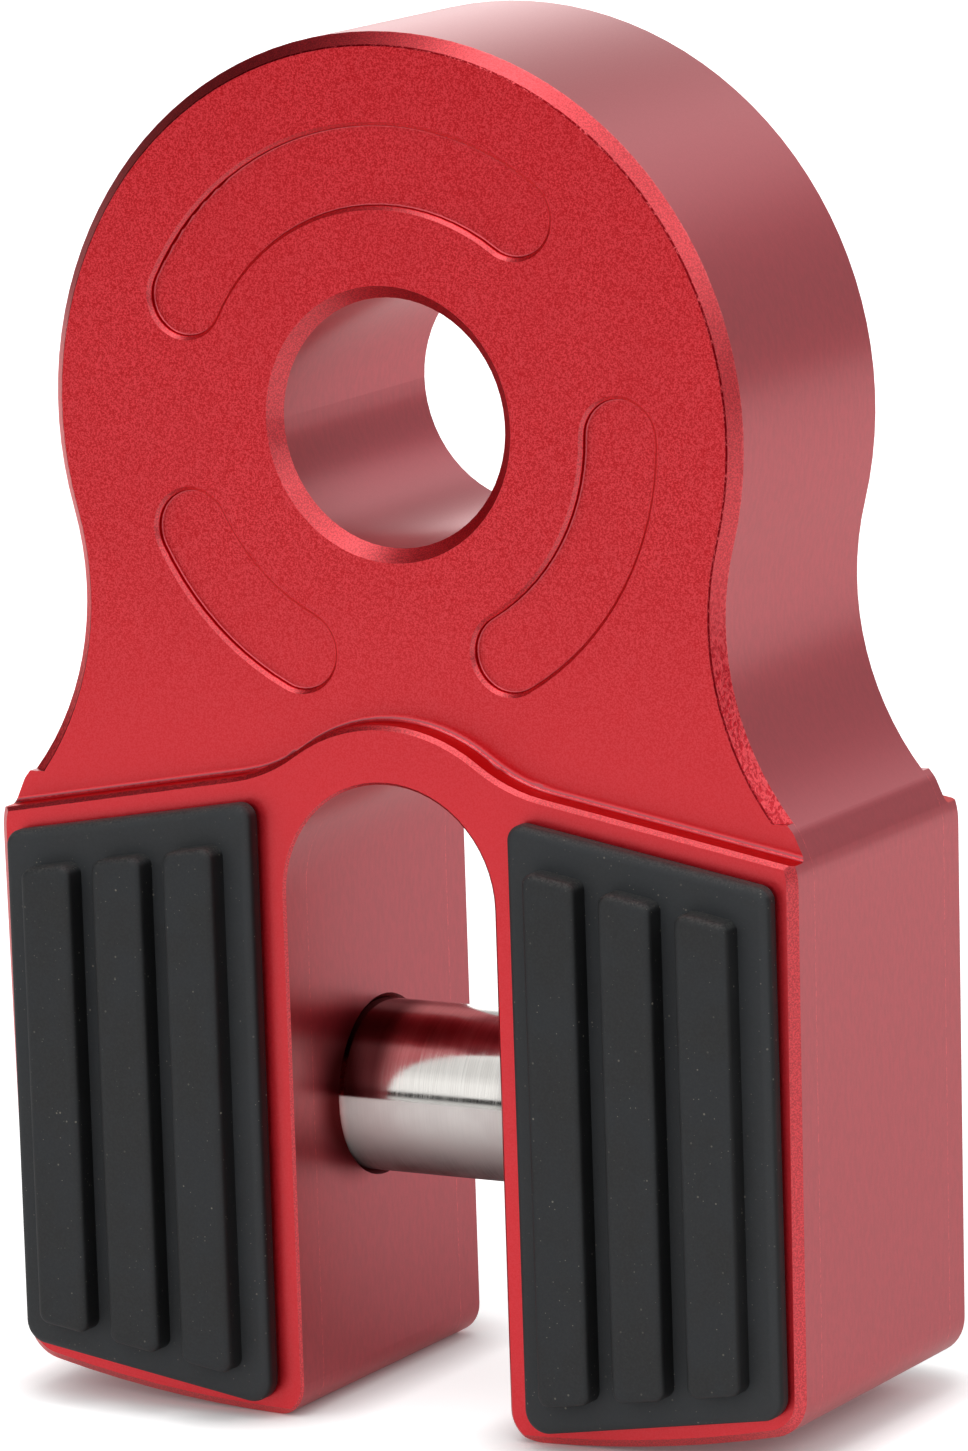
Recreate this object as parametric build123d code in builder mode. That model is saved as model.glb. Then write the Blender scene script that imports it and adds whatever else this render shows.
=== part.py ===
from build123d import *
import math
import os

os.makedirs("parts", exist_ok=True)

# Winch-line shackle mount: a billet body with an eye for a shackle pin at the top and, below it, two legs
# that hold a cross pin for the winch line. Rubber pads guard the front and rear faces of both legs.
#
# Frame: millimetres, +Z up. The origin is the centre of the shackle-pin bore, half way through the body.
# The front face looks along -Y, and +X is to the right of it.

# ---- driving dimensions ----------------------------------------------------------------------------------

# eye
EYE_RADIUS = 35.2
EYE_THICKNESS = 28.4
EYE_CHAMFER = 1.2
EYE_CHAMFER_END_Z = -33.9
BORE_RADIUS = 11.35
BORE_CHAMFER = 1.2

# neck and outline of the legs
NECK_RADIUS = 27.0
NECK_ANGLE = -15.57
NECK_HALF_WIDTH = 39.7
NECK_FILLET = 2.5
SHOULDER_HALF_WIDTH = 41.05
SHOULDER_Z = -37.6
SHOULDER_FILLET = 6.0
FOOT_HALF_WIDTH = 40.5
BOTTOM_Z = -92.1
FOOT_RISE = 3.7
FOOT_CORNER_FILLET = 3.8
SLOT_CORNER_FILLET = 3.0

# legs
LEG_THICKNESS = 33.8
LEG_CHAMFER = 0.8
STEP_CHAMFER = 0.4
STEP_FILLET = 0.6
STEP_APEX_Z = -29.8
STEP_SLOPE = 0.178
STEP_ARCH_RADIUS = 16.2
STEP_BLEND_RADIUS = 16.0

# slot for the line's eye
SLOT_HALF_WIDTH = 10.8
ARCH_Z = -43.1
SLOT_EDGE_BREAK = 0.25

# kidney-shaped lightening pockets around the bore: first and last angle of each centre line
POCKET_SPANS = [(55.0, 152.5), (206.8, 244.8), (300.0, 359.3)]
POCKET_PITCH_RADIUS = 23.3
POCKET_WIDTH = 7.2
POCKET_DEPTH = 0.8
POCKET_FLOOR_FILLET = 0.2
POCKET_EDGE_CHAMFER = 0.35

# cross pin, its blind bore and the ring that keeps it in
PIN_Z = -64.2
PIN_RADIUS = 8.0
PIN_CLEARANCE = 0.05
PIN_BLIND_X = 35.0
PIN_OUTER_X = -37.2
PIN_END_GAP = 0.1
PIN_CHAMFER = 0.8
PULL_HOLE_RADIUS = 2.5
PULL_HOLE_DEPTH = 14.0
PULL_HOLE_CHAMFER = 0.6
BORE_MOUTH_CHAMFER = 0.6
BORE_SLOT_CHAMFER = 0.4
GROOVE_RADIUS = 8.6
GROOVE_WIDTH = 1.1
GROOVE_OUTER_X = -38.6
RING_THICKNESS = 1.0
RING_RADIUS = 8.55
RING_BAND = 1.5
RING_BAND_SHIFT = 0.35
RING_LUG_PITCH = 6.6
RING_LUG_RADIUS = 1.55
RING_LUG_HOLE_RADIUS = 0.75
RING_LUG_ANGLE = 22.0
RING_GAP_ANGLE = 9.0

# rubber pads and the adhesive under them
FILM_THICKNESS = 0.4
FILM_INSET = 0.9
PAD_INNER_X = 13.2
PAD_OUTER_X = 39.3
PAD_TOP_Z = -32.15
PAD_TOP_SLOPE = 0.171
PAD_BOTTOM_Z = -92.95
PAD_BOTTOM_SLOPE = 0.155
PAD_TOP_FILLET = 1.5
PAD_BOTTOM_FILLET = 2.2
PAD_BASE = 1.7
PAD_EDGE_FILLET = 0.9
RIB_CENTRES = [18.57, 26.14, 33.71]
RIB_WIDTH = 5.3
RIB_HEIGHT = 2.4
RIB_MARGIN_TOP = 3.4
RIB_MARGIN_BOTTOM = 2.95
RIB_CORNER_FILLET = 1.1
RIB_EDGE_FILLET = 0.8

# ---- values that follow from them ------------------------------------------------------------------------

NECK_CENTRE_DISTANCE = EYE_RADIUS + NECK_RADIUS
NECK_X = NECK_CENTRE_DISTANCE * math.cos(math.radians(NECK_ANGLE))
NECK_Z = NECK_CENTRE_DISTANCE * math.sin(math.radians(NECK_ANGLE))
NECK_DROP = math.sqrt(NECK_RADIUS**2 - (NECK_X - NECK_HALF_WIDTH) ** 2)
NECK_END_ANGLE = 180 + math.degrees(math.atan2(NECK_DROP, NECK_X - NECK_HALF_WIDTH))
EYE_FACE_Y = EYE_THICKNESS / 2
LEG_FACE_Y = LEG_THICKNESS / 2
PIN_BORE_RADIUS = PIN_RADIUS + PIN_CLEARANCE
PIN_BLIND_GAP_X = PIN_BLIND_X - PIN_END_GAP
RING_OUTER_X = GROOVE_OUTER_X + (GROOVE_WIDTH - RING_THICKNESS) / 2
SLOT_RIM_HALF_WIDTH = SLOT_HALF_WIDTH + SLOT_CORNER_FILLET / 2
WIDE = 60.0  # further out than any part of the body


def near(value, target, tolerance=0.02):
    """Say whether a coordinate lies at a given place."""
    return abs(value - target) < tolerance


def lies_at(edge, y):
    """Say whether an edge lies in the plane at one depth."""
    box = edge.bounding_box()
    return near(box.min.Y, y) and near(box.max.Y, y)


def edges_in_face(part, y):
    """Edges of a part that lie in the plane at one depth."""
    return part.edges().filter_by(lambda edge: lies_at(edge, y))


def face_plane(depth, facing):
    """Sketching plane parallel to the front: facing is -1 for the front side and 1 for the rear side."""
    return Plane(origin=(0, facing * depth, 0), x_dir=(-facing, 0, 0), z_dir=(0, facing, 0))


def pin_plane(x, direction):
    """Sketching plane across the cross pin, centred on its axis, that looks along +X or -X."""
    return Plane(origin=(x, 0, PIN_Z), x_dir=(0, 1, 0), z_dir=(direction, 0, 0))


def polar(radius, degrees):
    """Point at an angle from the X axis."""
    return (radius * math.cos(math.radians(degrees)), radius * math.sin(math.radians(degrees)))


def step_height(x):
    """Height of the straight part of the step line that tops the legs."""
    return STEP_APEX_Z - STEP_SLOPE * abs(x)


# ---- profiles of the body, seen from the front -----------------------------------------------------------

# outer outline, before the slot is cut
with BuildSketch() as blank:
    with BuildLine():
        CenterArc((0, 0), EYE_RADIUS, NECK_ANGLE, 90 - NECK_ANGLE)
        neck = CenterArc((NECK_X, NECK_Z), NECK_RADIUS, 180 + NECK_ANGLE, NECK_END_ANGLE - 180 - NECK_ANGLE)
        Line(neck @ 1, (SHOULDER_HALF_WIDTH, SHOULDER_Z))
        side = Line((SHOULDER_HALF_WIDTH, SHOULDER_Z), (FOOT_HALF_WIDTH, BOTTOM_Z + FOOT_RISE))
        TangentArc((SLOT_HALF_WIDTH, BOTTOM_Z), side @ 1, tangent=(1, 0))
        Line((SLOT_HALF_WIDTH, BOTTOM_Z), (0, BOTTOM_Z))
        mirror(about=Plane.YZ)
    make_face()
    fillet(blank.vertices().filter_by(lambda v: near(v.Y, SHOULDER_Z)), SHOULDER_FILLET)
    fillet(blank.vertices().filter_by(lambda v: near(v.Y, (side @ 1).Y)), FOOT_CORNER_FILLET)

# the part of the blank below the necks, where the edges are left square
with BuildSketch() as shoulders:
    add(blank.sketch)
    with Locations((0, EYE_CHAMFER_END_Z)):
        Rectangle(2 * WIDE, 2 * WIDE, align=(Align.CENTER, Align.MAX), mode=Mode.INTERSECT)

# slot with its arched top and its rounded mouth: what is left of the blank outside the finished legs
with BuildSketch() as legs:
    add(blank.sketch)
    with Locations((0, ARCH_Z)):
        Circle(SLOT_HALF_WIDTH, mode=Mode.SUBTRACT)
        Rectangle(2 * SLOT_HALF_WIDTH, WIDE, align=(Align.CENTER, Align.MAX), mode=Mode.SUBTRACT)
    fillet(legs.vertices().filter_by(lambda v: near(v.Y, BOTTOM_Z)), SLOT_CORNER_FILLET)

with BuildSketch() as slot:
    add(blank.sketch)
    add(legs.sketch, mode=Mode.SUBTRACT)

# the part of the blank below the step line, where the legs stand proud of the eye
with BuildSketch() as cheek:
    with BuildLine():
        Polyline(
            (-WIDE, step_height(WIDE)),
            (0, STEP_APEX_Z),
            (WIDE, step_height(WIDE)),
            (WIDE, 2 * BOTTOM_Z),
            (-WIDE, 2 * BOTTOM_Z),
            close=True,
        )
    make_face()
    with Locations((0, ARCH_Z)):
        Circle(STEP_ARCH_RADIUS)
    fillet(cheek.vertices().filter_by(lambda v: abs(v.X) < STEP_ARCH_RADIUS), STEP_BLEND_RADIUS)
    add(blank.sketch, mode=Mode.INTERSECT)

# kidney-shaped pockets, each an arc swept by a round end
with BuildSketch() as pockets:
    for first, last in POCKET_SPANS:
        with BuildLine(mode=Mode.PRIVATE) as centre_line:
            CenterArc((0, 0), POCKET_PITCH_RADIUS, first, last - first)
        SlotArc(centre_line.edges()[0], POCKET_WIDTH)

# ---- body ------------------------------------------------------------------------------------------------


def in_eye_rim(edge):
    """Edges of the eye's face around the eye and down both necks."""
    return edge.geom_type == GeomType.CIRCLE and (edge @ 0.5).Z > SHOULDER_Z


def in_leg_rim(edge):
    """Outer and bottom edges of a leg's face."""
    return (edge @ 0.5).Z < ARCH_Z


def in_step_top(edge):
    """Edges of a leg's face along the step line."""
    return (edge @ 0.5).Z > step_height(SHOULDER_HALF_WIDTH)


def in_step_foot(edge):
    """Edges of the eye's face along the step line."""
    return (edge @ 0.5).Z < -EYE_RADIUS / 2 and abs((edge @ 0.5).X) < NECK_X / 2


def in_slot_rim(edge):
    """Edges of a leg's face along the slot."""
    return abs((edge @ 0.5).X) < SLOT_RIM_HALF_WIDTH and (edge @ 0.5).Z < ARCH_Z + SLOT_RIM_HALF_WIDTH


def in_pocket_rim(edge):
    """Edges of the eye's face around the pockets."""
    reach = math.hypot((edge @ 0.5).X, (edge @ 0.5).Z)
    inner = POCKET_PITCH_RADIUS - POCKET_WIDTH
    outer = POCKET_PITCH_RADIUS + POCKET_WIDTH / 2 + POCKET_EDGE_CHAMFER
    return inner < reach < outer and (edge @ 0.5).Z > -POCKET_PITCH_RADIUS


with BuildPart() as body:
    # eye and core of the legs, with a broad chamfer that stops short of the shoulders
    with BuildSketch(face_plane(EYE_FACE_Y, 1)):
        add(blank.sketch)
    extrude(amount=-EYE_THICKNESS)
    for side_y in (-EYE_FACE_Y, EYE_FACE_Y):
        chamfer(edges_in_face(body, side_y).filter_by(in_eye_rim), EYE_CHAMFER)
    with BuildSketch(face_plane(EYE_FACE_Y, 1)):
        add(shoulders.sketch)
    extrude(amount=-EYE_THICKNESS)
    neck_ends = body.edges().filter_by(Axis.Y).filter_by(lambda e: near(e.center().Z, (neck @ 1).Y))
    fillet(neck_ends, NECK_FILLET)

    # proud part of the legs, with a broad chamfer outside and below, and a fine one along the step
    with BuildSketch(face_plane(LEG_FACE_Y, 1)):
        add(cheek.sketch)
    extrude(amount=-LEG_THICKNESS)
    for side_y in (-LEG_FACE_Y, LEG_FACE_Y):
        chamfer(edges_in_face(body, side_y).filter_by(in_leg_rim), LEG_CHAMFER)
        chamfer(edges_in_face(body, side_y).filter_by(in_step_top), STEP_CHAMFER)
    for side_y in (-EYE_FACE_Y, EYE_FACE_Y):
        fillet(edges_in_face(body, side_y).filter_by(in_step_foot), STEP_FILLET)

    # slot, with its edges just broken
    with BuildSketch(face_plane(LEG_FACE_Y, 1)):
        add(slot.sketch)
    extrude(amount=-LEG_THICKNESS, mode=Mode.SUBTRACT)
    for side_y in (-LEG_FACE_Y, LEG_FACE_Y):
        chamfer(edges_in_face(body, side_y).filter_by(in_slot_rim), SLOT_EDGE_BREAK)

    # bore for the shackle pin
    with BuildSketch(face_plane(EYE_FACE_Y, 1)):
        Circle(BORE_RADIUS)
    extrude(amount=-EYE_THICKNESS, mode=Mode.SUBTRACT)
    mouths = body.edges().filter_by(GeomType.CIRCLE).filter_by(lambda e: near(e.radius, BORE_RADIUS))
    chamfer(mouths, BORE_CHAMFER)

    # pockets, the same on the front and, seen from behind, on the rear
    for facing in (-1, 1):
        with BuildSketch(face_plane(EYE_FACE_Y, facing)):
            add(pockets.sketch)
        extrude(amount=-POCKET_DEPTH, mode=Mode.SUBTRACT)
        fillet(edges_in_face(body, facing * (EYE_FACE_Y - POCKET_DEPTH)), POCKET_FLOOR_FILLET)
        chamfer(edges_in_face(body, facing * EYE_FACE_Y).filter_by(in_pocket_rim), POCKET_EDGE_CHAMFER)

    # blind bore for the cross pin, open to the left, with the groove for its ring
    with BuildSketch(pin_plane(PIN_BLIND_X, -1)):
        Circle(PIN_BORE_RADIUS)
    extrude(amount=2 * WIDE, mode=Mode.SUBTRACT)
    rims = body.edges().filter_by(lambda e: near(e.length, 2 * math.pi * PIN_BORE_RADIUS, 0.05))
    chamfer(rims.sort_by(Axis.X)[0], BORE_MOUTH_CHAMFER)
    chamfer(rims.filter_by(lambda e: near(abs(e.center().X), SLOT_HALF_WIDTH)), BORE_SLOT_CHAMFER)
    with BuildSketch(pin_plane(GROOVE_OUTER_X, 1)):
        Circle(GROOVE_RADIUS)
    extrude(amount=GROOVE_WIDTH, mode=Mode.SUBTRACT)
body.part.label = "body"

# ---- cross pin -------------------------------------------------------------------------------------------

with BuildPart() as line_pin:
    with BuildSketch(pin_plane(PIN_OUTER_X, 1)):
        Circle(PIN_RADIUS)
    extrude(amount=PIN_BLIND_GAP_X - PIN_OUTER_X)
    chamfer(line_pin.edges().filter_by(GeomType.CIRCLE), PIN_CHAMFER)
    with BuildSketch(pin_plane(PIN_OUTER_X, 1)):
        Circle(PULL_HOLE_RADIUS)
    extrude(amount=PULL_HOLE_DEPTH, mode=Mode.SUBTRACT)
    circles = line_pin.edges().filter_by(GeomType.CIRCLE)
    pull_hole_rims = circles.filter_by(lambda e: near(e.radius, PULL_HOLE_RADIUS))
    chamfer(pull_hole_rims.sort_by(Axis.X)[0], PULL_HOLE_CHAMFER)
line_pin.part.label = "line_pin"

# ---- retaining ring: an open band with an eyelet at each end, in the groove outside the pin --------------

with BuildPart() as snap_ring:
    with BuildSketch(pin_plane(RING_OUTER_X, 1)):
        Circle(RING_RADIUS)
        with Locations((0, RING_BAND_SHIFT)):
            Circle(RING_RADIUS - RING_BAND, mode=Mode.SUBTRACT)
        eyelets = [polar(RING_LUG_PITCH, 90 + turn) for turn in (-RING_LUG_ANGLE, RING_LUG_ANGLE)]
        with Locations(eyelets):
            Circle(RING_LUG_RADIUS)
        with BuildLine():
            Polyline((0, 0), polar(WIDE, 90 - RING_GAP_ANGLE), polar(WIDE, 90 + RING_GAP_ANGLE), close=True)
        make_face(mode=Mode.SUBTRACT)
        with Locations(eyelets):
            Circle(RING_LUG_HOLE_RADIUS, mode=Mode.SUBTRACT)
    extrude(amount=RING_THICKNESS)
snap_ring.part.label = "snap_ring"

# ---- rubber pads and their adhesive films ----------------------------------------------------------------


def pad_top(x):
    """Height of a pad's top edge."""
    return PAD_TOP_Z - PAD_TOP_SLOPE * x


def pad_bottom(x):
    """Height of a pad's bottom edge."""
    return PAD_BOTTOM_Z + PAD_BOTTOM_SLOPE * x


def leg_panel(inner, outer, top_margin, bottom_margin, hand):
    """Corners of a four-sided panel on a leg: hand is 1 or -1, and mirrors it across the slot."""
    corners = [
        (hand * inner, pad_top(inner) - top_margin),
        (hand * outer, pad_top(outer) - top_margin),
        (hand * outer, pad_bottom(outer) + bottom_margin),
        (hand * inner, pad_bottom(inner) + bottom_margin),
    ]
    return corners


def outer_edges(part, facing):
    """Edges of the flat face that looks furthest out to the front (-1) or the rear (1)."""
    return part.faces().filter_by(Axis.Y).sort_by(lambda f: facing * f.center().Y)[-1].edges()


def build_film(facing, side):
    """Adhesive film on a leg's face, a little smaller than the pad that it holds."""
    with BuildPart() as film:
        with BuildSketch(face_plane(LEG_FACE_Y, facing)):
            with BuildLine():
                Polyline(*leg_panel(PAD_INNER_X, PAD_OUTER_X, 0, 0, -facing * side), close=True)
            make_face()
            offset(amount=-FILM_INSET, kind=Kind.INTERSECTION)
        extrude(amount=FILM_THICKNESS)
    return film


def build_rib(facing, side, centre):
    """Raised rib of a pad, with a rounded outer edge."""
    hand = -facing * side
    inner = centre - RIB_WIDTH / 2
    outer = centre + RIB_WIDTH / 2
    with BuildPart() as rib:
        with BuildSketch(face_plane(LEG_FACE_Y + FILM_THICKNESS + PAD_BASE, facing)) as outline:
            with BuildLine():
                Polyline(*leg_panel(inner, outer, RIB_MARGIN_TOP, RIB_MARGIN_BOTTOM, hand), close=True)
            make_face()
            fillet(outline.vertices(), RIB_CORNER_FILLET)
        extrude(amount=RIB_HEIGHT)
        fillet(outer_edges(rib, facing), RIB_EDGE_FILLET)
    return rib.part


def build_pad(facing, side):
    """Rubber pad with rounded edges and three raised ribs."""
    hand = -facing * side
    ribs = [build_rib(facing, side, centre) for centre in RIB_CENTRES]
    with BuildPart() as pad:
        with BuildSketch(face_plane(LEG_FACE_Y + FILM_THICKNESS, facing)) as plate:
            with BuildLine():
                Polyline(*leg_panel(PAD_INNER_X, PAD_OUTER_X, 0, 0, hand), close=True)
            make_face()
            fillet(plate.vertices().sort_by(Axis.Y)[:2], PAD_BOTTOM_FILLET)
            fillet(plate.vertices().sort_by(Axis.Y)[-2:], PAD_TOP_FILLET)
        extrude(amount=PAD_BASE)
        fillet(outer_edges(pad, facing), PAD_EDGE_FILLET)
        add(ribs)
    return pad


films = {}
pads = {}
for face_name, facing in (("front", -1), ("rear", 1)):
    for side_name, side in (("left", -1), ("right", 1)):
        corner = f"{face_name}_{side_name}"
        films[corner] = build_film(facing, side)
        films[corner].part.label = f"film_{corner}"
        pads[corner] = build_pad(facing, side)
        pads[corner].part.label = f"pad_{corner}"

# ---- one file for each piece -----------------------------------------------------------------------------

for piece in [body, line_pin, snap_ring, *films.values(), *pads.values()]:
    export_step(piece.part, f"parts/{piece.part.label}.step")
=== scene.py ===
import math

import bpy
from mathutils import Matrix, Vector


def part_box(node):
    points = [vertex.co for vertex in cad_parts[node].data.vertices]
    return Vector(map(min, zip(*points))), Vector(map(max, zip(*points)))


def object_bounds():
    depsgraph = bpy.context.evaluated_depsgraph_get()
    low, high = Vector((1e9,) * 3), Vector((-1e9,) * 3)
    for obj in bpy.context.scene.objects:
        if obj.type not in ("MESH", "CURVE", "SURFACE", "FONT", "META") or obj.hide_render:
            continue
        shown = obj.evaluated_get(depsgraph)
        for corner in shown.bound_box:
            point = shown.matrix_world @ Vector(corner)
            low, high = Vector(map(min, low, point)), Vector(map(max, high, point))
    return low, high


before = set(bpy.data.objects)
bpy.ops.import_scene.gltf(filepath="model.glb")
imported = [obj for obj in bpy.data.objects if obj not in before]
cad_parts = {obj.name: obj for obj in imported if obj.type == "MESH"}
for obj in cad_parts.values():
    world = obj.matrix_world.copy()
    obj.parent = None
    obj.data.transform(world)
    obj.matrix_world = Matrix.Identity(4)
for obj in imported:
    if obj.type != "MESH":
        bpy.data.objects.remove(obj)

# Winch-line shackle mount: red anodised billet body, cross pin with its retaining ring, and rubber pads.
# The object is built in CAD, and this script adds its materials, the floor, the light and the camera.
# Everything is in metres, in the frame of the CAD part: +Z up, the front face looks along -Y, and the
# origin is the centre of the shackle-pin bore.

CAD_BOX = [list(corner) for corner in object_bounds()]
MM = 0.001

# ---- sizes that the looks depend on ----------------------------------------------------------------------

PIN_LOW, PIN_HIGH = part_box("line_pin")
PIN_Z = (PIN_LOW.z + PIN_HIGH.z) / 2
PIN_RADIUS = (PIN_HIGH.z - PIN_LOW.z) / 2
FLOOR_Z = CAD_BOX[0][2]

EYE_FACE_Y = 14.2 * MM
EYE_CHAMFER = 1.2 * MM
BORE_RIM_RADIUS = 13.5 * MM
SLOT_HALF_WIDTH = 10.8 * MM
POCKET_DEPTH = 0.8 * MM
POCKET_PITCH_RADIUS = 23.3 * MM
POCKET_WIDTH = 7.2 * MM
WAIST_Z = -8.0 * MM
MARKED_Z = -22.0 * MM
SHOULDER_Z = -37.0 * MM

RIB_HEIGHT = 2.4 * MM
PAD_FACE_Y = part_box("pad_rear_left")[1].y - RIB_HEIGHT

# ---- node helpers ----------------------------------------------------------------------------------------


class Tree:
    """A node tree built from calls: every call makes a node, and an argument is a value or a socket."""

    def __init__(self, tree):
        self.tree = tree

    def node(self, kind, out=0, **settings):
        """Make a node. Settings that start with in_ are its inputs by place or name, others its options."""
        made = self.tree.nodes.new(kind)
        for key, value in settings.items():
            if not key.startswith("in_"):
                setattr(made, key, value)
        for key, value in settings.items():
            if key.startswith("in_"):
                self.feed(made.inputs, key[3:], value)
        return None if out is None else made.outputs[out]

    def feed(self, inputs, key, value):
        """Link a socket to an input, or set the input's own value."""
        socket = inputs[int(key)] if key.isdigit() else inputs[key.replace("_", " ")]
        if isinstance(value, bpy.types.NodeSocket):
            self.tree.links.new(value, socket)
        else:
            socket.default_value = value

    def place(self):
        """Object-space position."""
        return self.node("ShaderNodeTexCoord", out=3)

    def normal(self):
        """Object-space normal."""
        return self.node("ShaderNodeTexCoord", out=1)

    def split(self, vector):
        """The vector's X, Y and Z."""
        made = self.tree.nodes.new("ShaderNodeSeparateXYZ")
        self.tree.links.new(vector, made.inputs[0])
        return made.outputs[0], made.outputs[1], made.outputs[2]

    def scaled(self, vector, factors):
        return self.node("ShaderNodeVectorMath", operation="MULTIPLY", in_0=vector, in_1=factors)

    def length(self, vector):
        return self.node("ShaderNodeVectorMath", out=1, operation="LENGTH", in_0=vector)

    def dot(self, a, b):
        return self.node("ShaderNodeVectorMath", out=1, operation="DOT_PRODUCT", in_0=a, in_1=b)

    def math(self, operation, a, b=0.0):
        return self.node("ShaderNodeMath", operation=operation, in_0=a, in_1=b)

    def add(self, a, b):
        return self.math("ADD", a, b)

    def subtract(self, a, b):
        return self.math("SUBTRACT", a, b)

    def multiply(self, first, *others):
        """Product of two or more values, which for masks is where all of them are."""
        for other in others:
            first = self.math("MULTIPLY", first, other)
        return first

    def either(self, a, b):
        """The larger of two masks."""
        return self.math("MAXIMUM", a, b)

    def absolute(self, a):
        return self.math("ABSOLUTE", a)

    def ramp(self, value, start, end, low=0.0, high=1.0):
        """Low up to start, high from end, and a smooth turn between them."""
        return self.node(
            "ShaderNodeMapRange",
            interpolation_type="SMOOTHSTEP",
            in_0=value,
            in_1=start,
            in_2=end,
            in_3=low,
            in_4=high,
        )

    def below(self, value, start, end):
        """1 up to start, and 0 from end."""
        return self.ramp(value, start, end, 1.0, 0.0)

    def band(self, value, centre, half_width, soft):
        """1 where the value is within half_width of the centre, falling to 0 over soft."""
        return self.below(self.absolute(self.subtract(value, centre)), half_width, half_width + soft)

    def noise(self, vector, size, detail=2.0, roughness=0.5, distortion=0.0):
        """Noise from 0 to 1 with features about as large as size, in metres."""
        return self.node(
            "ShaderNodeTexNoise",
            in_Vector=vector,
            in_Scale=1.0 / size,
            in_Detail=detail,
            in_Roughness=roughness,
            in_Distortion=distortion,
        )

    def specks(self, vector, size, share):
        """1 in small scattered dots with cells as large as size: share is each dot's radius in cells."""
        cells = self.node("ShaderNodeTexVoronoi", in_Vector=vector, in_Scale=1.0 / size)
        return self.below(cells, share, share * SPECK_SOFTNESS)

    def mix(self, factor, a, b):
        """Number between a and b."""
        return self.node("ShaderNodeMix", data_type="FLOAT", in_0=factor, in_2=a, in_3=b)

    def blend(self, factor, a, b):
        """Colour between a and b."""
        return self.node("ShaderNodeMix", out=2, data_type="RGBA", in_0=factor, in_6=a, in_7=b)

    def bump(self, height, distance, strength=1.0, normal=None):
        """Normal that follows a height from 0 to 1, with relief as deep as distance, in metres."""
        made = {"in_Height": height, "in_Distance": distance, "in_Strength": strength}
        if normal is not None:
            made["in_Normal"] = normal
        return self.node("ShaderNodeBump", **made)


def new_material(name, build, **values):
    """Material with one Principled shader. Build gets the tree and returns what drives its inputs."""
    material = bpy.data.materials.new(name)
    material.use_nodes = True
    tree = Tree(material.node_tree)
    tree.tree.nodes.clear()
    shader = tree.tree.nodes.new("ShaderNodeBsdfPrincipled")
    output = tree.tree.nodes.new("ShaderNodeOutputMaterial")
    tree.tree.links.new(shader.outputs[0], output.inputs[0])
    for key, value in values.items():
        shader.inputs[key.replace("_", " ")].default_value = value
    for key, socket in build(tree).items():
        tree.tree.links.new(socket, shader.inputs[key])
    return material


def colour(red, green, blue):
    """Linear colour with its alpha."""
    return (red, green, blue, 1.0)


# the part of a noise over which a look turns from one value to the other
BROADLY = (0.3, 0.7)
CLEARLY = (0.35, 0.65)
SPECK_SOFTNESS = 1.6

# ---- the anodised body -----------------------------------------------------------------------------------

# a normal's share along Y or Z, where a mask starts and where it ends
TOWARDS_Y = (0.9, 0.97)
AWAY_FROM_Y = (0.3, 0.5)
TOWARDS_TOP = (0.5, 0.8)
SLOWLY_TOWARDS_TOP = (0.1, 0.9)
CHAMFER_SHARE = 0.707
CHAMFER_MARGIN = 0.06

ROUND_THE_BORE = (1.0, 0.0, 1.0)
EYE_FACE_END = (EYE_FACE_Y + 0.1 * MM, EYE_FACE_Y + 0.3 * MM)
STEP_START = (EYE_FACE_Y + 0.2 * MM, EYE_FACE_Y + 0.5 * MM)
POCKET_FLOOR = (EYE_FACE_Y - 1.1 * POCKET_DEPTH, EYE_FACE_Y - POCKET_DEPTH)
POCKET_MARGIN = 0.5 * MM
POCKET_FADE = 0.2 * MM
POCKET_SHADE_Y = EYE_FACE_Y - 0.52 * MM
POCKET_SHADE_HALF = 0.18 * MM
POCKET_SHADE_FADE = 0.06 * MM
RIM_FADE = 1.0 * MM
EDGE_HALF = 0.06 * MM
EDGE_FADE = 0.05 * MM

# painted shade on the slot's walls round the mouth of the pin's bore, a little nearer to the front
BORE_SHADE_AHEAD = 5.0 * MM
BORE_SHADE_RADII = (4.5 * MM, 9.0 * MM)
SLOT_MARGIN = 0.6 * MM
SLOT_FADE = 0.2 * MM

GRAIN_SIZE = 0.15 * MM
GRAIN_RELIEF = 0.020 * MM
CLOUD_SIZE = 9.0 * MM
STREAK_SIZE = 0.5 * MM
STREAK_STRETCH = (1.0, 1.0, 0.4)
MARK_SIZE = 0.32 * MM
MARK_STRETCH = (1.0, 1.5, 0.7)
MARK_RELIEF = 0.10 * MM
CUT_MARKS = (0.40, 0.58)
SCORED_MARKS = (0.35, 0.5)
WORN_MARKS = (0.45, 0.6)

# how strong each of these is at its weakest (grain, coarse cutting) or at its strongest (the others)
GRAIN_AT_SHOULDERS = 0.25
SIDE_GRAIN = 0.2
COARSE_AT_WAIST = 0.1
CLOUD_SHARE = 0.25
LOW_LIGHT_SHARE = 0.75
BORE_SHADE_SHARE = 0.9
WORN_SHARE = 0.6

BLASTED = colour(0.74, 0.0, 0.006), colour(1.0, 0.026, 0.046)
# painted light: the blasted faces are lighter lower down, towards the shoulders
BLASTED_PAINTED_LOW_LIGHT = colour(0.96, 0.006, 0.016), colour(1.0, 0.034, 0.056)
BLASTED_CLOUD = colour(0.82, 0.006, 0.020)
SATIN = colour(0.55, 0.038, 0.060), colour(0.62, 0.044, 0.070)
# painted shade: upward satin faces dimmer and less red, toning down the highlight from above
SATIN_TOP_SHADE = colour(0.46, 0.030, 0.056)
# painted shade: near black on the slot walls round the bore's mouth
BORE_MOUTH_SHADE = colour(0.05, 0.0, 0.002)
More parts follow.
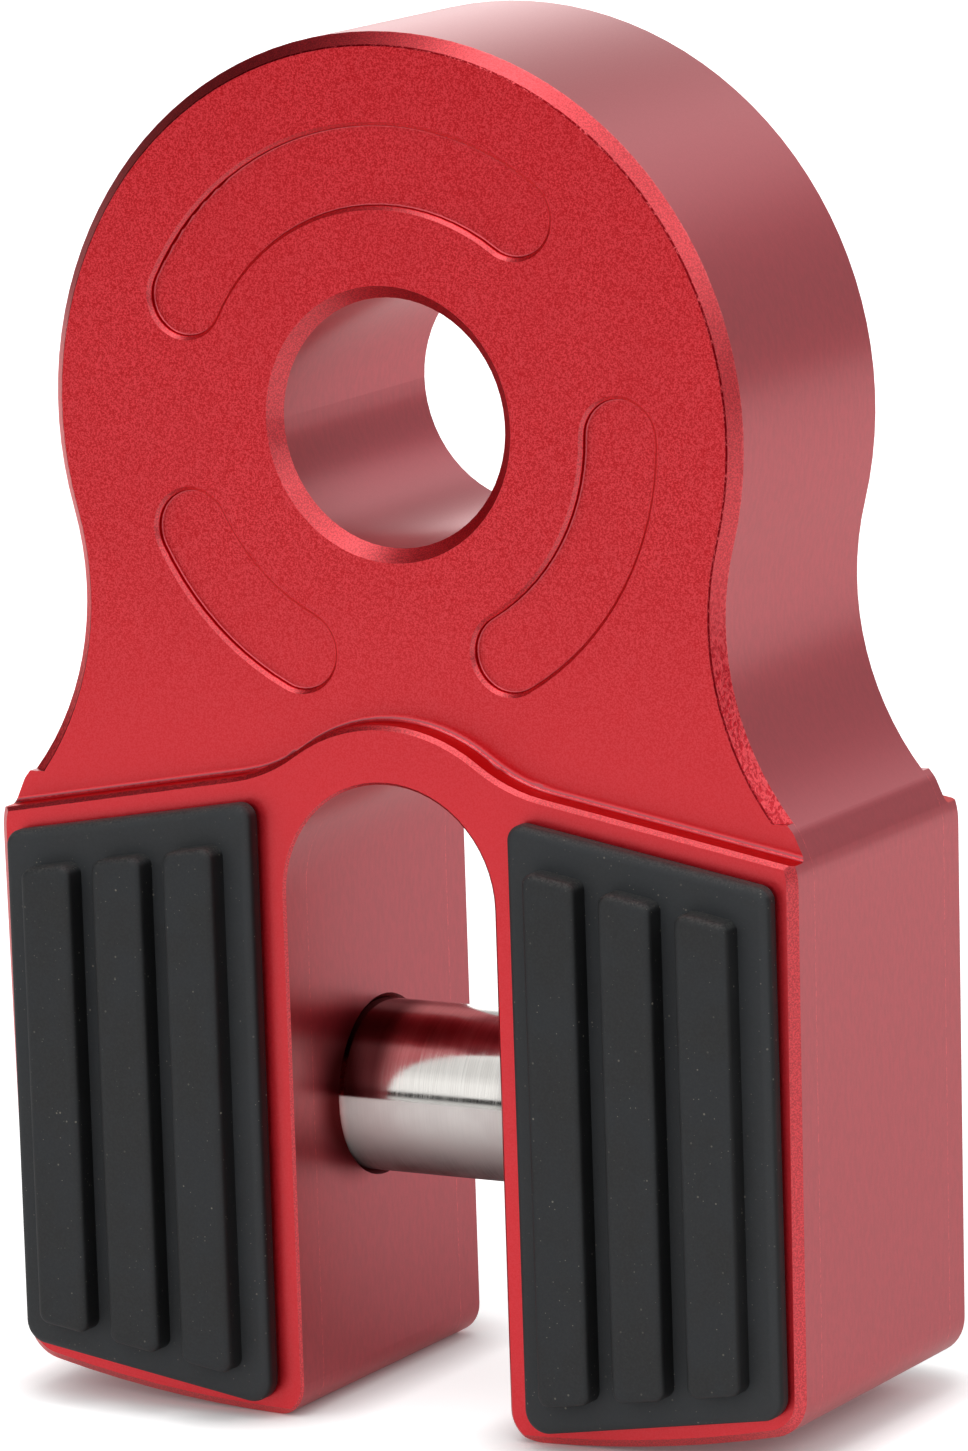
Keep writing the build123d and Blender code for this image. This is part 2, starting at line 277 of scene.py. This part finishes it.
# painted shade: darker red on the upward walls of the leg steps and on the pocket walls
STEP_WALL_SHADE = colour(0.50, 0.0, 0.008)
POCKET_WALL_SHADE = colour(0.34, 0.0, 0.006)
CHAMFERED = colour(0.66, 0.002, 0.014), colour(1.0, 0.045, 0.065)
COARSELY_CUT = colour(0.66, 0.002, 0.016), colour(1.0, 0.080, 0.100)
SCORED = colour(0.25, 0.0, 0.004)
WORN = colour(1.0, 0.12, 0.14)

SATIN_ROUGHNESS = 0.42
BLASTED_ROUGHNESS = 0.46
CUT_ROUGHNESS = 0.38
ROUGHNESS_SPREAD = 0.04

SATIN_COAT = 1.0
PLAIN_COAT = 0.62
GRAIN_COAT = (0.28, 0.90)
STEP_COAT = 0.30
DARK_COAT = 0.05
COARSE_COAT = 0.1
COARSE_COAT_SHARE = 0.7


def body_masks(tree, place, marks):
    """Masks for the body's kinds of face and edge, from where a point lies and which way it faces."""
    sideways, along, height = tree.split(place)
    _, across, upward = tree.split(tree.normal())
    across = tree.absolute(across)
    depth = tree.absolute(along)
    reach = tree.length(tree.scaled(place, ROUND_THE_BORE))

    chamfer = tree.band(across, CHAMFER_SHARE, CHAMFER_MARGIN, CHAMFER_MARGIN)
    on_eye = tree.below(depth, *EYE_FACE_END)
    in_pocket = tree.multiply(
        on_eye,
        tree.band(reach, POCKET_PITCH_RADIUS, POCKET_WIDTH / 2 + POCKET_MARGIN, POCKET_FADE),
        tree.ramp(depth, *POCKET_FLOOR),
    )
    outside_bore = tree.ramp(reach, BORE_RIM_RADIUS, BORE_RIM_RADIUS + RIM_FADE)
    on_rim = tree.multiply(on_eye, outside_bore, tree.subtract(1.0, in_pocket))
    inner_edge = tree.band(depth, EYE_FACE_Y - EDGE_HALF, EDGE_HALF, EDGE_FADE)
    outer_edge = tree.band(depth, EYE_FACE_Y - EYE_CHAMFER, EDGE_HALF, EDGE_FADE)

    behind = tree.add(along, BORE_SHADE_AHEAD)
    above = tree.subtract(height, PIN_Z)
    from_bore_shade = tree.length(tree.node("ShaderNodeCombineXYZ", in_1=behind, in_2=above))
    on_slot_wall = tree.band(tree.absolute(sideways), SLOT_HALF_WIDTH, SLOT_MARGIN, SLOT_FADE)

    return {
        "face": tree.ramp(across, *TOWARDS_Y),
        "top": tree.ramp(upward, *SLOWLY_TOWARDS_TOP),
        "chamfer": chamfer,
        "coarse": tree.multiply(
            chamfer,
            on_rim,
            tree.ramp(height, WAIST_Z, MARKED_Z, COARSE_AT_WAIST, 1.0),
        ),
        "scored": tree.multiply(inner_edge, on_rim, chamfer, tree.ramp(marks, *SCORED_MARKS)),
        "worn": tree.multiply(outer_edge, on_rim, tree.ramp(marks, *WORN_MARKS)),
        "step_wall": tree.multiply(
            tree.ramp(depth, *STEP_START),
            tree.ramp(upward, *TOWARDS_TOP),
            tree.below(across, *AWAY_FROM_Y),
        ),
        "pocket_wall": tree.multiply(
            in_pocket,
            tree.band(depth, POCKET_SHADE_Y, POCKET_SHADE_HALF, POCKET_SHADE_FADE),
        ),
        # where the painted shade round the bore's mouth lies on the slot walls
        "bore_shade": tree.multiply(on_slot_wall, tree.below(from_bore_shade, *BORE_SHADE_RADII)),
        "grained": tree.ramp(height, SHOULDER_Z, WAIST_Z, GRAIN_AT_SHOULDERS, 1.0),
        # how much painted light the blasted faces get lower down
        "painted_low_light": tree.ramp(height, WAIST_Z, SHOULDER_Z, 0.0, LOW_LIGHT_SHARE),
    }


def body_colour(tree, place, masks, wall, grain, marks):
    """Red dye, lighter where the metal is blasted, cut or worn; painted light lower down on the blasted
    faces, and painted shade on upward satin faces, on the step and pocket walls and round the bore's mouth.
    """
    cloud = tree.noise(place, CLOUD_SIZE, detail=3.0)
    streaks = tree.noise(tree.scaled(place, STREAK_STRETCH), STREAK_SIZE, detail=3.0, roughness=0.6)
    clear_grain = tree.ramp(grain, *CLEARLY)

    tone = tree.mix(masks["grained"], 0.5, clear_grain)
    blasted = tree.blend(tone, *BLASTED)
    blasted = tree.blend(tree.ramp(cloud, *BROADLY, 0.0, CLOUD_SHARE), blasted, BLASTED_CLOUD)
    # painted light: blasted faces lighter lower down
    blasted = tree.blend(masks["painted_low_light"], blasted, tree.blend(tone, *BLASTED_PAINTED_LOW_LIGHT))
    satin = tree.blend(tree.ramp(streaks, *BROADLY), *SATIN)
    # painted shade on upward satin faces
    satin = tree.blend(masks["top"], satin, SATIN_TOP_SHADE)
    # painted shade on the slot walls round the bore's mouth
    satin = tree.blend(tree.multiply(masks["bore_shade"], BORE_SHADE_SHARE), satin, BORE_MOUTH_SHADE)
    shown = tree.blend(masks["face"], satin, blasted)

    # painted shade on the step and pocket walls
    shown = tree.blend(wall, shown, tree.blend(masks["pocket_wall"], STEP_WALL_SHADE, POCKET_WALL_SHADE))
    bright = tree.blend(clear_grain, *CHAMFERED)
    cut = tree.blend(tree.ramp(marks, *CUT_MARKS), *COARSELY_CUT)
    shown = tree.blend(masks["chamfer"], shown, tree.blend(masks["coarse"], bright, cut))
    shown = tree.blend(masks["scored"], shown, SCORED)
    return tree.blend(tree.multiply(masks["worn"], WORN_SHARE), shown, WORN)


def anodised(tree):
    """Red dyed aluminium: blasted faces, satin sides, walls darkened with painted shade, and chamfers,
    coarse near the legs.
    """
    place = tree.place()
    grain = tree.noise(place, GRAIN_SIZE, detail=2.0, roughness=0.6)
    marks = tree.noise(
        tree.scaled(place, MARK_STRETCH), MARK_SIZE, detail=2.0, roughness=0.7, distortion=0.6
    )
    masks = body_masks(tree, place, marks)
    face, grained, coarse = masks["face"], masks["grained"], masks["coarse"]
    wall = tree.either(masks["step_wall"], masks["pocket_wall"])

    roughness = tree.mix(face, SATIN_ROUGHNESS, BLASTED_ROUGHNESS)
    roughness = tree.mix(tree.either(masks["chamfer"], wall), roughness, CUT_ROUGHNESS)
    roughness = tree.add(roughness, tree.ramp(grain, *BROADLY, -ROUGHNESS_SPREAD, ROUGHNESS_SPREAD))

    relief = tree.bump(grain, GRAIN_RELIEF, tree.multiply(tree.mix(face, SIDE_GRAIN, 1.0), grained))
    relief = tree.bump(marks, MARK_RELIEF, coarse, relief)

    coat = tree.mix(grained, PLAIN_COAT, tree.ramp(grain, *BROADLY, *GRAIN_COAT))
    coat = tree.mix(face, SATIN_COAT, coat)
    coat = tree.mix(masks["step_wall"], coat, STEP_COAT)
    coat = tree.mix(tree.either(masks["pocket_wall"], masks["scored"]), coat, DARK_COAT)
    coat = tree.mix(tree.multiply(coarse, COARSE_COAT_SHARE), coat, COARSE_COAT)
    # no coat where the painted shade round the bore's mouth lies
    coat = tree.mix(tree.multiply(masks["bore_shade"], BORE_SHADE_SHARE), coat, 0.0)
    return {
        "Base Color": body_colour(tree, place, masks, wall, grain, marks),
        "Roughness": roughness,
        "Normal": relief,
        "Coat Weight": coat,
    }


# ---- the pin, its ring and the adhesive ------------------------------------------------------------------

TURNED_SIZE = 0.14 * MM
TURNED_STRETCH = (1.0, 0.02, 0.02)
TURNED_RELIEF = 0.003 * MM
SMEAR_SIZE = 3.0 * MM

# the rubbed part of the pin: the length in the slot, up to a line a little above the pin's middle; then the
# span below the middle with painted shade, and the length of painted shade at each end of the slot
RUBBED_ENDS = (SLOT_HALF_WIDTH + 0.4 * MM, SLOT_HALF_WIDTH + 1.4 * MM)
RUBBED_TOP = (PIN_Z + 0.35 * MM, PIN_Z + 0.70 * MM)
UNDERSIDE_SHADE_SPAN = (PIN_Z - 0.95 * PIN_RADIUS, PIN_Z)
END_SHADE_LENGTH = 3.0 * MM

GROUND = colour(0.72, 0.69, 0.655), colour(0.86, 0.84, 0.80)
# painted shade: near black at the pin's ends beside the slot walls
PIN_END_SHADE = colour(0.08, 0.04, 0.04)
# frosted steel with painted shade: near black at the underside, pale at the middle
FROSTED_SHADED_BELOW = colour(0.04, 0.01, 0.01), colour(1.0, 0.97, 0.935)
FROSTED_SMEAR = colour(0.55, 0.46, 0.45)
FROSTED_LINE = colour(0.62, 0.59, 0.57)
PIN_END_SHADE_SHARE = 0.92
FROSTED_SMEAR_SHARE = 0.15
FROSTED_LINE_SHARE = 0.12
GROUND_ROUGHNESS = (0.06, 0.16)
SMEAR_ROUGHNESS = 0.05
FROSTED_ROUGHNESS = 0.42
FROSTED_METALLIC = 0.2

PHOSPHATE_SIZE = 0.12 * MM
PHOSPHATE_RELIEF = 0.006 * MM
PHOSPHATE_ROUGHNESS = (0.38, 0.5)
PHOSPHATE = colour(0.10, 0.10, 0.105), colour(0.21, 0.21, 0.22)

ADHESIVE_SIZE = 0.3 * MM
ADHESIVE_RELIEF = 0.02 * MM
ADHESIVE_ROUGHNESS = (0.6, 0.75)
ADHESIVE = colour(0.018, 0.018, 0.019), colour(0.035, 0.034, 0.034)


def polished(tree):
    """Ground stainless steel with fine turned lines, frosted below by the rubbing of the line's thimble,
    with painted shade on the underside and at the ends in the slot.
    """
    place = tree.place()
    sideways, _, height = tree.split(place)
    from_middle = tree.absolute(sideways)
    lines = tree.noise(tree.scaled(place, TURNED_STRETCH), TURNED_SIZE, detail=3.0, roughness=0.7)
    smear = tree.noise(place, SMEAR_SIZE, detail=2.0)
    in_slot = tree.below(from_middle, *RUBBED_ENDS)
    rubbed = tree.multiply(in_slot, tree.below(height, *RUBBED_TOP))
    painted_end_shade = tree.multiply(in_slot, tree.band(from_middle, SLOT_HALF_WIDTH, END_SHADE_LENGTH, END_SHADE_LENGTH))

    ground = tree.blend(tree.ramp(lines, *BROADLY), *GROUND)
    # painted shade at the pin's ends beside the slot walls
    ground = tree.blend(tree.multiply(painted_end_shade, PIN_END_SHADE_SHARE), ground, PIN_END_SHADE)
    # painted shade: the frosted part darkens towards the underside
    frosted = tree.blend(tree.ramp(height, *UNDERSIDE_SHADE_SPAN), *FROSTED_SHADED_BELOW)
    frosted = tree.blend(tree.ramp(smear, *BROADLY, 0.0, FROSTED_SMEAR_SHARE), frosted, FROSTED_SMEAR)
    frosted = tree.blend(tree.ramp(lines, *BROADLY, 0.0, FROSTED_LINE_SHARE), frosted, FROSTED_LINE)

    roughness = tree.ramp(lines, *BROADLY, *GROUND_ROUGHNESS)
    roughness = tree.add(roughness, tree.ramp(smear, *BROADLY, 0.0, SMEAR_ROUGHNESS))
    return {
        "Base Color": tree.blend(rubbed, ground, frosted),
        "Roughness": tree.mix(rubbed, roughness, FROSTED_ROUGHNESS),
        "Normal": tree.bump(lines, TURNED_RELIEF, 0.6),
        "Metallic": tree.mix(rubbed, 1.0, FROSTED_METALLIC),
    }


def phosphated(tree):
    """Dark spring steel with a stamped skin."""
    grain = tree.noise(tree.place(), PHOSPHATE_SIZE, detail=3.0, roughness=0.6)
    return {
        "Base Color": tree.blend(tree.ramp(grain, *CLEARLY), *PHOSPHATE),
        "Roughness": tree.ramp(grain, *BROADLY, *PHOSPHATE_ROUGHNESS),
        "Normal": tree.bump(grain, PHOSPHATE_RELIEF, 0.5),
    }


def adhesive(tree):
    """Dull dark adhesive film."""
    grain = tree.noise(tree.place(), ADHESIVE_SIZE, detail=2.0)
    return {
        "Base Color": tree.blend(tree.ramp(grain, *CLEARLY), *ADHESIVE),
        "Roughness": tree.ramp(grain, *BROADLY, *ADHESIVE_ROUGHNESS),
        "Normal": tree.bump(grain, ADHESIVE_RELIEF, 0.4),
    }


# ---- the rubber pads -------------------------------------------------------------------------------------

SKIN_SIZE = 0.22 * MM
SKIN_RELIEF = 0.02 * MM
BLOOM_SIZE = 5.0 * MM
GROOVE_END = (PAD_FACE_Y + 0.05 * MM, PAD_FACE_Y + 0.2 * MM)
# a normal's share along Y or Z, or the skin's noise, where a mask starts and where it ends
SIDE_WALL_ACROSS = (0.35, 0.75)
SIDE_WALL_UPWARD = (0.2, 0.6)
DUST_AND_LIGHT_UPWARD = (0.3, 0.8)
DUST_AND_LIGHT_SKIN = (0.4, 0.6)
WORN_SKIN = (0.35, 0.7)
# dots of dust: the size of their cells, and their radius in cells; then how they gather
LARGE_DUST = (1.5 * MM, 0.050)
SMALL_DUST = (0.7 * MM, 0.055)
DUST_BLOOM = (0.42, 0.62)
DUST_SHARES = (0.3, 1.0)

RUBBER = colour(0.020, 0.021, 0.0215), colour(0.025, 0.028, 0.031)
RUBBER_SKIN = colour(0.040, 0.042, 0.044)
# painted light: lighter bluish grey on the groove floors, against the shade between the ribs
RUBBER_GROOVE_LIGHT = colour(0.050, 0.055, 0.060)
# painted shade: near black on the side walls of the pads and ribs
RUBBER_WALL_SHADE = colour(0.003, 0.003, 0.0035)
# dust and painted light from above: upward tops lighter in patches
DUST_AND_TOP_LIGHT = colour(0.10, 0.098, 0.090)
DUST = colour(0.24, 0.22, 0.18)
SKIN_SHARE = 0.35
GROOVE_LIGHT_SHARE = 0.35
WALL_SHADE_SHARE = 0.85
DUST_AND_TOP_LIGHT_SHARE = 0.4
DUST_SHARE = 0.8
RUBBER_ROUGHNESS = (0.55, 0.66)


def rubber(tree):
    """Charcoal moulded rubber: a bluish bloom on faces, grooves with painted light, side walls with painted
    shade, upward tops lighter with dust and painted light, and specks of dust.
    """
    place = tree.place()
    _, across, upward = tree.split(tree.normal())
    across = tree.absolute(across)
    depth = tree.absolute(tree.split(place)[1])
    skin = tree.noise(place, SKIN_SIZE, detail=3.0, roughness=0.6)
    bloom = tree.noise(place, BLOOM_SIZE, detail=4.0, roughness=0.6)
    lit_groove = tree.below(depth, *GROOVE_END)
    side_wall_shade = tree.multiply(tree.below(across, *SIDE_WALL_ACROSS), tree.below(upward, *SIDE_WALL_UPWARD))
    dust_and_top_light = tree.multiply(tree.ramp(upward, *DUST_AND_LIGHT_UPWARD), tree.ramp(skin, *DUST_AND_LIGHT_SKIN))
    dust = tree.either(tree.specks(place, *LARGE_DUST), tree.specks(place, *SMALL_DUST))
    dust = tree.multiply(dust, tree.ramp(bloom, *DUST_BLOOM, *DUST_SHARES))

    shown = tree.blend(tree.ramp(bloom, *CLEARLY), *RUBBER)
    shown = tree.blend(tree.ramp(skin, *WORN_SKIN, 0.0, SKIN_SHARE), shown, RUBBER_SKIN)
    # painted light on the groove floors
    shown = tree.blend(tree.multiply(lit_groove, GROOVE_LIGHT_SHARE), shown, RUBBER_GROOVE_LIGHT)
    # painted shade on the side walls
    shown = tree.blend(tree.multiply(side_wall_shade, WALL_SHADE_SHARE), shown, RUBBER_WALL_SHADE)
    # dust and painted light from above on upward tops
    shown = tree.blend(tree.multiply(dust_and_top_light, DUST_AND_TOP_LIGHT_SHARE), shown, DUST_AND_TOP_LIGHT)
    shown = tree.blend(tree.multiply(dust, DUST_SHARE), shown, DUST)
    return {
        "Base Color": shown,
        "Roughness": tree.ramp(bloom, *BROADLY, *RUBBER_ROUGHNESS),
        "Normal": tree.bump(skin, SKIN_RELIEF, 0.5),
    }


# ---- the materials on the CAD parts ----------------------------------------------------------------------

# from the names of the CAD's material slots
MATERIALS = {
    "anodised_body": new_material(
        "red_anodised",
        anodised,
        Metallic=1.0,
        Coat_Roughness=0.28,
        Coat_IOR=1.8,
        Specular_Tint=colour(1.0, 0.35, 0.35),
    ),
    "steel_pin": new_material("stainless_pin", polished),
    "spring_steel_ring": new_material("phosphated_ring", phosphated, Metallic=1.0),
    "adhesive": new_material("adhesive_film", adhesive),
    "rubber_pad": new_material("moulded_rubber", rubber, IOR=1.45),
}

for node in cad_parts.values():
    for material_slot in node.material_slots:
        material_slot.material = MATERIALS[material_slot.material.name]

# ---- floor -----------------------------------------------------------------------------------------------

# in metres on the floor: where the glow near the object ends, where the rear starts, and the far front,
# which is dark in reflections
FLOOR_RADIUS = 3.0
FLOOR_CLOUD_SIZE = 0.15
FLOOR_NEAR_END = (0.15, 0.4)
FLOOR_REAR_START = (-0.2, 0.2)
FLOOR_FAR_FRONT = (-0.95, -0.75)
CONTACT_SHADE = 6.0 * MM

FLOOR = colour(0.88, 0.88, 0.88), colour(0.92, 0.92, 0.92)
FLOOR_DARK = colour(0.02, 0.02, 0.02)
WHITE = colour(1.0, 1.0, 1.0)
FLOOR_GLOW_NEAR = 0.06
FLOOR_GLOW_REAR = 0.15
FLOOR_GLOW_SEEN = 0.60
BACKDROP = 0.98


def pale_floor(tree):
    """Pale matte floor with a soft glow, and a thin contact shade under the object."""
    place = tree.place()
    _, along, _ = tree.split(place)
    far_front = tree.below(along, *FLOOR_FAR_FRONT)
    shown = tree.blend(tree.noise(place, FLOOR_CLOUD_SIZE, detail=3.0), *FLOOR)
    shown = tree.blend(far_front, shown, FLOOR_DARK)

    rear_glow = tree.ramp(along, *FLOOR_REAR_START, 0.0, FLOOR_GLOW_REAR)
    glow = tree.mix(tree.ramp(tree.length(place), *FLOOR_NEAR_END), FLOOR_GLOW_NEAR, rear_glow)
    open_sky = tree.node("ShaderNodeAmbientOcclusion", out=1, in_Distance=CONTACT_SHADE)
    camera_ray = tree.node("ShaderNodeLightPath")
    seen = tree.multiply(camera_ray, tree.multiply(open_sky, open_sky))
    glow = tree.add(glow, tree.multiply(seen, tree.mix(far_front, FLOOR_GLOW_SEEN, BACKDROP)))
    return {"Base Color": shown, "Emission Strength": glow}


def build_floor():
    """Square floor that the mount stands on."""
    mesh = bpy.data.meshes.new("floor")
    turns = ((-1, -1), (1, -1), (1, 1), (-1, 1))
    corners = [(x * FLOOR_RADIUS, y * FLOOR_RADIUS, FLOOR_Z) for x, y in turns]
    mesh.from_pydata(corners, [], [(0, 1, 2, 3)])
    mesh.materials.append(new_material("pale_floor", pale_floor, Roughness=0.9, Emission_Color=WHITE))
    floor = bpy.data.objects.new("floor", mesh)
    bpy.context.scene.collection.objects.link(floor)


build_floor()

# ---- light -----------------------------------------------------------------------------------------------

# glowing panels round the studio, in degrees: azimuth of the middle, half width, lowest and highest edge,
# how far the lowest edge fades, and strength
PANELS = [
    (0.0, 60.0, 4.5, 25.0, 2.0, 1.33),
    (0.0, 60.0, 25.0, 50.0, 8.0, 1.00),
    (0.0, 60.0, 50.0, 75.0, 10.0, 1.33),
    (90.0, 30.0, 25.0, 50.0, 8.0, 1.85),
    (150.0, 30.0, 0.0, 22.0, 2.0, 0.48),
    (150.0, 30.0, 22.0, 45.0, 8.0, 1.26),
    (-150.0, 30.0, 0.0, 22.0, 2.0, 2.08),
    (-150.0, 30.0, 22.0, 45.0, 8.0, 0.69),
    (0.0, 190.0, 75.0, 100.0, 10.0, 3.85),
]
SIDE_FADE = 12.0
TOP_FADE = 10.0


def direction(azimuth, elevation):
    """Unit vector: azimuth 0 is the front, -Y, and 90 the right, +X."""
    around, up = math.radians(azimuth), math.radians(elevation)
    return Vector((math.sin(around) * math.cos(up), -math.cos(around) * math.cos(up), math.sin(up)))


def panel_glow(tree, towards, azimuth, half_width, lowest, highest, fade, strength):
    """Glow of one panel in the direction towards, with soft edges."""
    ahead = tree.dot(towards, direction(azimuth, 0.0))
    aside = tree.dot(towards, direction(azimuth + 90.0, 0.0))
    turn = tree.absolute(tree.math("DEGREES", tree.math("ARCTAN2", aside, ahead)))
    rise = tree.math("DEGREES", tree.math("ARCSINE", tree.split(towards)[2]))
    across = tree.ramp(turn, half_width - SIDE_FADE / 2, half_width + SIDE_FADE / 2, strength, 0.0)
    bottom = tree.ramp(rise, lowest - fade / 2, lowest + fade / 2)
    top = tree.below(rise, highest - TOP_FADE / 2, highest + TOP_FADE / 2)
    return tree.multiply(across, tree.multiply(bottom, top))


def build_world():
    """Studio of soft glowing panels. The camera sees a plain pale backdrop."""
    world = bpy.data.worlds.new("studio")
    bpy.context.scene.world = world
    world.use_nodes = True
    tree = Tree(world.node_tree)
    tree.tree.nodes.clear()
    towards = tree.node("ShaderNodeTexCoord")
    glow = 0.0
    for panel in PANELS:
        glow = tree.add(panel_glow(tree, towards, *panel), glow)
    room = tree.node("ShaderNodeBackground", in_Strength=glow)
    backdrop = tree.node("ShaderNodeBackground", in_Color=WHITE, in_Strength=BACKDROP)
    camera_ray = tree.node("ShaderNodeLightPath")
    shown = tree.node("ShaderNodeMixShader", in_0=camera_ray, in_1=room, in_2=backdrop)
    tree.node("ShaderNodeOutputWorld", out=None, in_0=shown)


build_world()

# ---- camera ----------------------------------------------------------------------------------------------

CAMERA_AZIMUTH = 29.1308
CAMERA_ELEVATION = 10.4665
CAMERA_ROLL = -1.8612
CAMERA_DISTANCE = 817.34 * MM
CAMERA_TARGET = Vector((0.9953 * MM, 0.0, -29.7725 * MM))
CAMERA_LENS = 222.13
CAMERA_SENSOR = 36.0
CAMERA_CLIP = (0.05, 50.0)


def build_camera():
    """Camera with a long lens that looks at the mount from the right of its front and a little above it."""
    around, roll = math.radians(CAMERA_AZIMUTH), math.radians(CAMERA_ROLL)
    back = direction(CAMERA_AZIMUTH, CAMERA_ELEVATION)
    level = Vector((math.cos(around), math.sin(around), 0.0))
    upright = back.cross(level)
    right = level * math.cos(roll) + upright * math.sin(roll)
    top = upright * math.cos(roll) - level * math.sin(roll)
    data = bpy.data.cameras.new("camera")
    data.lens = CAMERA_LENS
    data.sensor_width = CAMERA_SENSOR
    data.clip_start, data.clip_end = CAMERA_CLIP
    camera = bpy.data.objects.new("camera", data)
    turn = Matrix((right, top, back)).transposed().to_4x4()
    camera.matrix_world = Matrix.Translation(CAMERA_TARGET + back * CAMERA_DISTANCE) @ turn
    bpy.context.scene.collection.objects.link(camera)
    bpy.context.scene.camera = camera


build_camera()
bpy.context.scene.view_settings.view_transform = "Standard"
